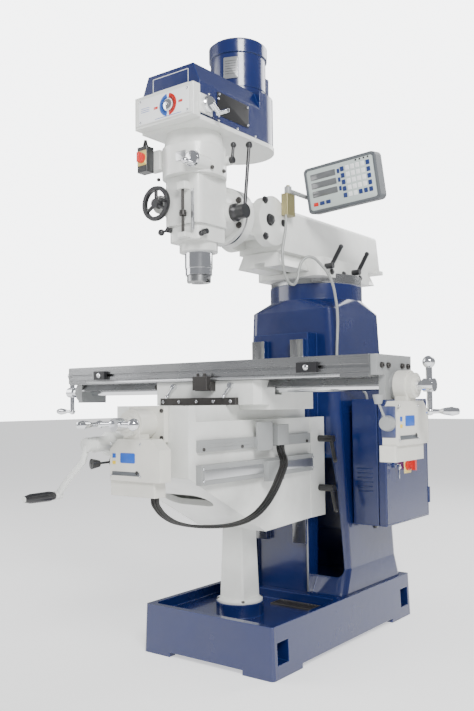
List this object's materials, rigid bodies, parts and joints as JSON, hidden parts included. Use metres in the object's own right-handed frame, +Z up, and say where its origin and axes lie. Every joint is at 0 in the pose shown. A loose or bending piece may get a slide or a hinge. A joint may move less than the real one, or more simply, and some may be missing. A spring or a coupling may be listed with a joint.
{
  "type": "vertical knee milling machine",
  "caption": "Floor-standing turret milling machine: column on a tray base, knee, saddle and slotted table, ram with a tilting belt-drive head, power feeds and digital readout.",
  "frame": {"origin": "centre of the base casting footprint on the floor", "axes": "+X along the table towards the power feed, +Y towards the back of the column, +Z up"},
  "size_m": [1.672, 1.624, 2.11],
  "materials": {
    "blue_paint": "gloss enamel over cast iron",
    "white_paint": "gloss enamel over cast iron",
    "ground_steel": "ground",
    "dark_steel": "oiled dark steel",
    "chrome": "polished",
    "black_plastic": "satin",
    "feed_cream": "satin moulded case",
    "panel_grey": "satin",
    "olive_zinc": "zinc passivated",
    "red_plastic": "gloss",
    "grey_paint": "satin",
    "belt_rubber": "matte",
    "cable_grey": "ribbed",
    "cable_black": "matte",
    "aluminium_part": "machined"
  },
  "bodies": {
    "machine": {"base": "blue_paint", "pedestal": "white_paint", "column": "blue_paint", "cabinet": "blue_paint", "dro_conduit_lower": "cable_grey"},
    "turret": {"turret": "white_paint", "dro_conduit_middle": "cable_grey"},
    "ram": {"ram": "white_paint", "dro_bracket": "olive_zinc", "dro_conduit_upper": "cable_grey"},
    "adapter": {"ram_adapter": "white_paint"},
    "head": {"head_housing": "white_paint", "gear_case": "white_paint", "belt_housing": "white_paint", "speed_cover": "blue_paint", "dial_box": "white_paint", "motor": "blue_paint", "drive_belt": "belt_rubber", "switch_box": "black_plastic", "depth_stop_rod": "dark_steel"},
    "quill": {"quill": "chrome"},
    "spindle": {"spindle": "ground_steel", "drawbar": "dark_steel"},
    "knee": {"knee": "white_paint", "knee_scale": "grey_paint", "y_feed_unit": "feed_cream", "feed_cable": "cable_black"},
    "saddle": {"saddle": "white_paint", "saddle_fittings": "dark_steel"},
    "table": {"table": "ground_steel", "table_brackets": "grey_paint", "x_feed_unit": "feed_cream", "trip_dogs": "black_plastic"},
    "cabinet_door": {"cabinet_door": "blue_paint"},
    "main_switch": {"main_switch": "red_plastic"},
    "ram_lock_front": {"ram_lock_front": "black_plastic"},
    "ram_lock_rear": {"ram_lock_rear": "black_plastic"},
    "dro_arm": {"dro_arm": "grey_paint"},
    "dro_display": {"dro_display": "panel_grey"},
    "spindle_pulley": {"spindle_pulley": "aluminium_part"},
    "motor_pulley": {"motor_pulley": "aluminium_part"},
    "speed_crank": {"speed_crank": "chrome"},
    "fine_feed_wheel": {"fine_feed_wheel": "black_plastic"},
    "quill_feed_lever": {"quill_feed_lever": "black_plastic"},
    "feed_engage_lever": {"feed_engage_lever": "black_plastic"},
    "switch_knob": {"switch_knob": "red_plastic"},
    "brake_lever": {"brake_lever": "black_plastic"},
    "range_lever": {"range_lever": "chrome"},
    "depth_stop_nut": {"depth_stop_nut": "dark_steel"},
    "quill_lock_lever": {"quill_lock_lever": "black_plastic"},
    "elevating_screw": {"elevating_screw": "dark_steel"},
    "knee_crank": {"knee_crank": "white_paint"},
    "knee_lock_upper": {"knee_lock_upper": "black_plastic"},
    "knee_lock_lower": {"knee_lock_lower": "black_plastic"},
    "y_feed_lever": {"y_feed_lever": "black_plastic"},
    "y_screw": {"y_screw": "chrome"},
    "table_lock_left": {"table_lock_left": "chrome"},
    "table_lock_right": {"table_lock_right": "chrome"},
    "x_screw": {"x_screw": "chrome"},
    "x_feed_lever": {"x_feed_lever": "grey_paint"}
  },
  "joints": [
    {"name": "cabinet_door_hinge", "type": "hinge", "parent": "machine", "child": "cabinet_door", "pos_m": [0.3655, 0.4605, 0.6], "axis": [0, 0, 1], "range_deg": [0, 110]},
    {"name": "main_switch_turn", "type": "hinge", "parent": "cabinet_door", "child": "main_switch", "pos_m": [0.37, 0.276, 0.606], "axis": [1, 0, 0], "range_deg": [0, 90]},
    {"name": "turret_swivel", "type": "hinge", "parent": "machine", "child": "turret", "pos_m": [0, 0.239, 1.3], "axis": [0, 0, 1], "range_deg": [-90, 90]},
    {"name": "ram_lock_front_turn", "type": "hinge", "parent": "turret", "child": "ram_lock_front", "pos_m": [0.16, 0.06, 1.35], "axis": [1, 0, 0], "range_deg": [-20, 40]},
    {"name": "ram_lock_rear_turn", "type": "hinge", "parent": "turret", "child": "ram_lock_rear", "pos_m": [0.16, 0.265, 1.35], "axis": [1, 0, 0], "range_deg": [-20, 40]},
    {"name": "ram_slide", "type": "slide", "parent": "turret", "child": "ram", "axis": [0, 1, 0], "range_m": [-0.24, 0.06]},
    {"name": "dro_swivel", "type": "hinge", "parent": "ram", "child": "dro_arm", "pos_m": [0.114, -0.128, 1.6], "axis": [0, 0, 1], "range_deg": [-60, 4]},
    {"name": "dro_tilt", "type": "hinge", "parent": "dro_arm", "child": "dro_display", "pos_m": [0.276, 0.045, 1.627], "axis": [1, 0, 0], "range_deg": [-15, 20]},
    {"name": "head_nod", "type": "hinge", "parent": "ram", "child": "adapter", "pos_m": [0, -0.226, 1.484], "axis": [-1, 0, 0], "range_deg": [-45, 45]},
    {"name": "head_swivel", "type": "hinge", "parent": "adapter", "child": "head", "pos_m": [0, -0.352, 1.484], "axis": [0, 1, 0], "range_deg": [-90, 90]},
    {"name": "quill_slide", "type": "slide", "parent": "head", "child": "quill", "axis": [0, 0, 1], "range_m": [-0.127, 0]},
    {"name": "quill_feed_turn", "type": "hinge", "parent": "head", "child": "quill_feed_lever", "pos_m": [0.1, -0.424, 1.473], "axis": [1, 0, 0], "range_deg": [-2, 255]},
    {"name": "pulley_spin", "type": "hinge", "parent": "head", "child": "spindle_pulley", "pos_m": [0, -0.495, 1.8], "axis": [0, 0, 1], "continuous": true},
    {"name": "spindle_spin", "type": "hinge", "parent": "quill", "child": "spindle", "pos_m": [0, -0.495, 1.4], "axis": [0, 0, 1], "continuous": true},
    {"name": "motor_spin", "type": "hinge", "parent": "head", "child": "motor_pulley", "pos_m": [0, -0.268, 1.8], "axis": [0, 0, 1], "continuous": true},
    {"name": "speed_crank_turn", "type": "hinge", "parent": "head", "child": "speed_crank", "pos_m": [0.14, -0.606, 1.776], "axis": [1, 0, 0], "continuous": true},
    {"name": "fine_feed_turn", "type": "hinge", "parent": "head", "child": "fine_feed_wheel", "pos_m": [-0.085, -0.6, 1.497], "axis": [0, 1, 0], "continuous": true},
    {"name": "feed_engage_turn", "type": "hinge", "parent": "head", "child": "feed_engage_lever", "pos_m": [-0.05, -0.59, 1.408], "axis": [0, 1, 0], "range_deg": [-30, 30]},
    {"name": "head_switch_turn", "type": "hinge", "parent": "head", "child": "switch_knob", "pos_m": [-0.126, -0.64, 1.65], "axis": [0, 1, 0], "range_deg": [-60, 60]},
    {"name": "brake_turn", "type": "hinge", "parent": "head", "child": "brake_lever", "pos_m": [0.11, -0.455, 1.64], "axis": [1, 0, 0], "range_deg": [-25, 25]},
    {"name": "range_lever_turn", "type": "hinge", "parent": "head", "child": "range_lever", "pos_m": [0.084, -0.62, 1.61], "axis": [0, 1, 0], "range_deg": [0, 180]},
    {"name": "depth_stop_travel", "type": "slide", "parent": "head", "child": "depth_stop_nut", "axis": [0, 0, 1], "range_m": [-0.044, 0.064]},
    {"name": "quill_lock_turn", "type": "hinge", "parent": "head", "child": "quill_lock_lever", "pos_m": [0.07, -0.555, 1.392], "axis": [1, 0, 0], "range_deg": [-20, 25]},
    {"name": "knee_slide", "type": "slide", "parent": "machine", "child": "knee", "axis": [0, 0, 1], "range_m": [-0.19, 0.2]},
    {"name": "elevating_screw_turn", "type": "hinge", "parent": "knee", "child": "elevating_screw", "pos_m": [0, -0.29, 0.6], "axis": [0, 0, 1], "continuous": true},
    {"name": "knee_crank_turn", "type": "hinge", "parent": "knee", "child": "knee_crank", "pos_m": [-0.128, -0.75, 0.724], "axis": [0, -1, 0], "range_deg": [-135, 5]},
    {"name": "knee_lock_upper_turn", "type": "hinge", "parent": "knee", "child": "knee_lock_upper", "pos_m": [0.16, -0.002, 0.712], "axis": [1, 0, 0], "range_deg": [-15, 15]},
    {"name": "knee_lock_lower_turn", "type": "hinge", "parent": "knee", "child": "knee_lock_lower", "pos_m": [0.16, -0.002, 0.535], "axis": [1, 0, 0], "range_deg": [-15, 15]},
    {"name": "y_feed_lever_tilt", "type": "hinge", "parent": "knee", "child": "y_feed_lever", "pos_m": [-0.09, -0.789, 0.672], "axis": [1, 0, 0], "range_deg": [-12, 12]},
    {"name": "saddle_slide", "type": "slide", "parent": "knee", "child": "saddle", "axis": [0, 1, 0], "range_m": [-0.16, 0.1]},
    {"name": "y_screw_turn", "type": "hinge", "parent": "knee", "child": "y_screw", "pos_m": [0, -0.8, 0.786], "axis": [0, 1, 0], "continuous": true},
    {"name": "table_lock_left_turn", "type": "hinge", "parent": "saddle", "child": "table_lock_left", "pos_m": [-0.108, -0.5, 0.9], "axis": [0, 1, 0], "range_deg": [-30, 30]},
    {"name": "table_lock_right_turn", "type": "hinge", "parent": "saddle", "child": "table_lock_right", "pos_m": [0.132, -0.5, 0.9], "axis": [0, 1, 0], "range_deg": [-30, 30]},
    {"name": "table_slide", "type": "slide", "parent": "saddle", "child": "table", "axis": [1, 0, 0], "range_m": [-0.3, 0.3]},
    {"name": "x_screw_turn", "type": "hinge", "parent": "table", "child": "x_screw", "pos_m": [0, -0.3835, 0.89], "axis": [1, 0, 0], "continuous": true},
    {"name": "x_feed_lever_tilt", "type": "hinge", "parent": "table", "child": "x_feed_lever", "pos_m": [0.668, -0.49, 0.784], "axis": [0, 1, 0], "range_deg": [-12, 12]}
  ],
  "couplings": [
    {"joint": "quill_feed_turn", "follows": "quill_slide", "rad_per_m": -34.36},
    {"joint": "spindle_spin", "follows": "pulley_spin", "ratio": 1},
    {"joint": "motor_spin", "follows": "pulley_spin", "ratio": 1.545},
    {"joint": "elevating_screw_turn", "follows": "knee_slide", "rad_per_m": 1236.8},
    {"joint": "y_screw_turn", "follows": "saddle_slide", "rad_per_m": 1236.8},
    {"joint": "x_screw_turn", "follows": "table_slide", "rad_per_m": 1236.8}
  ]
}
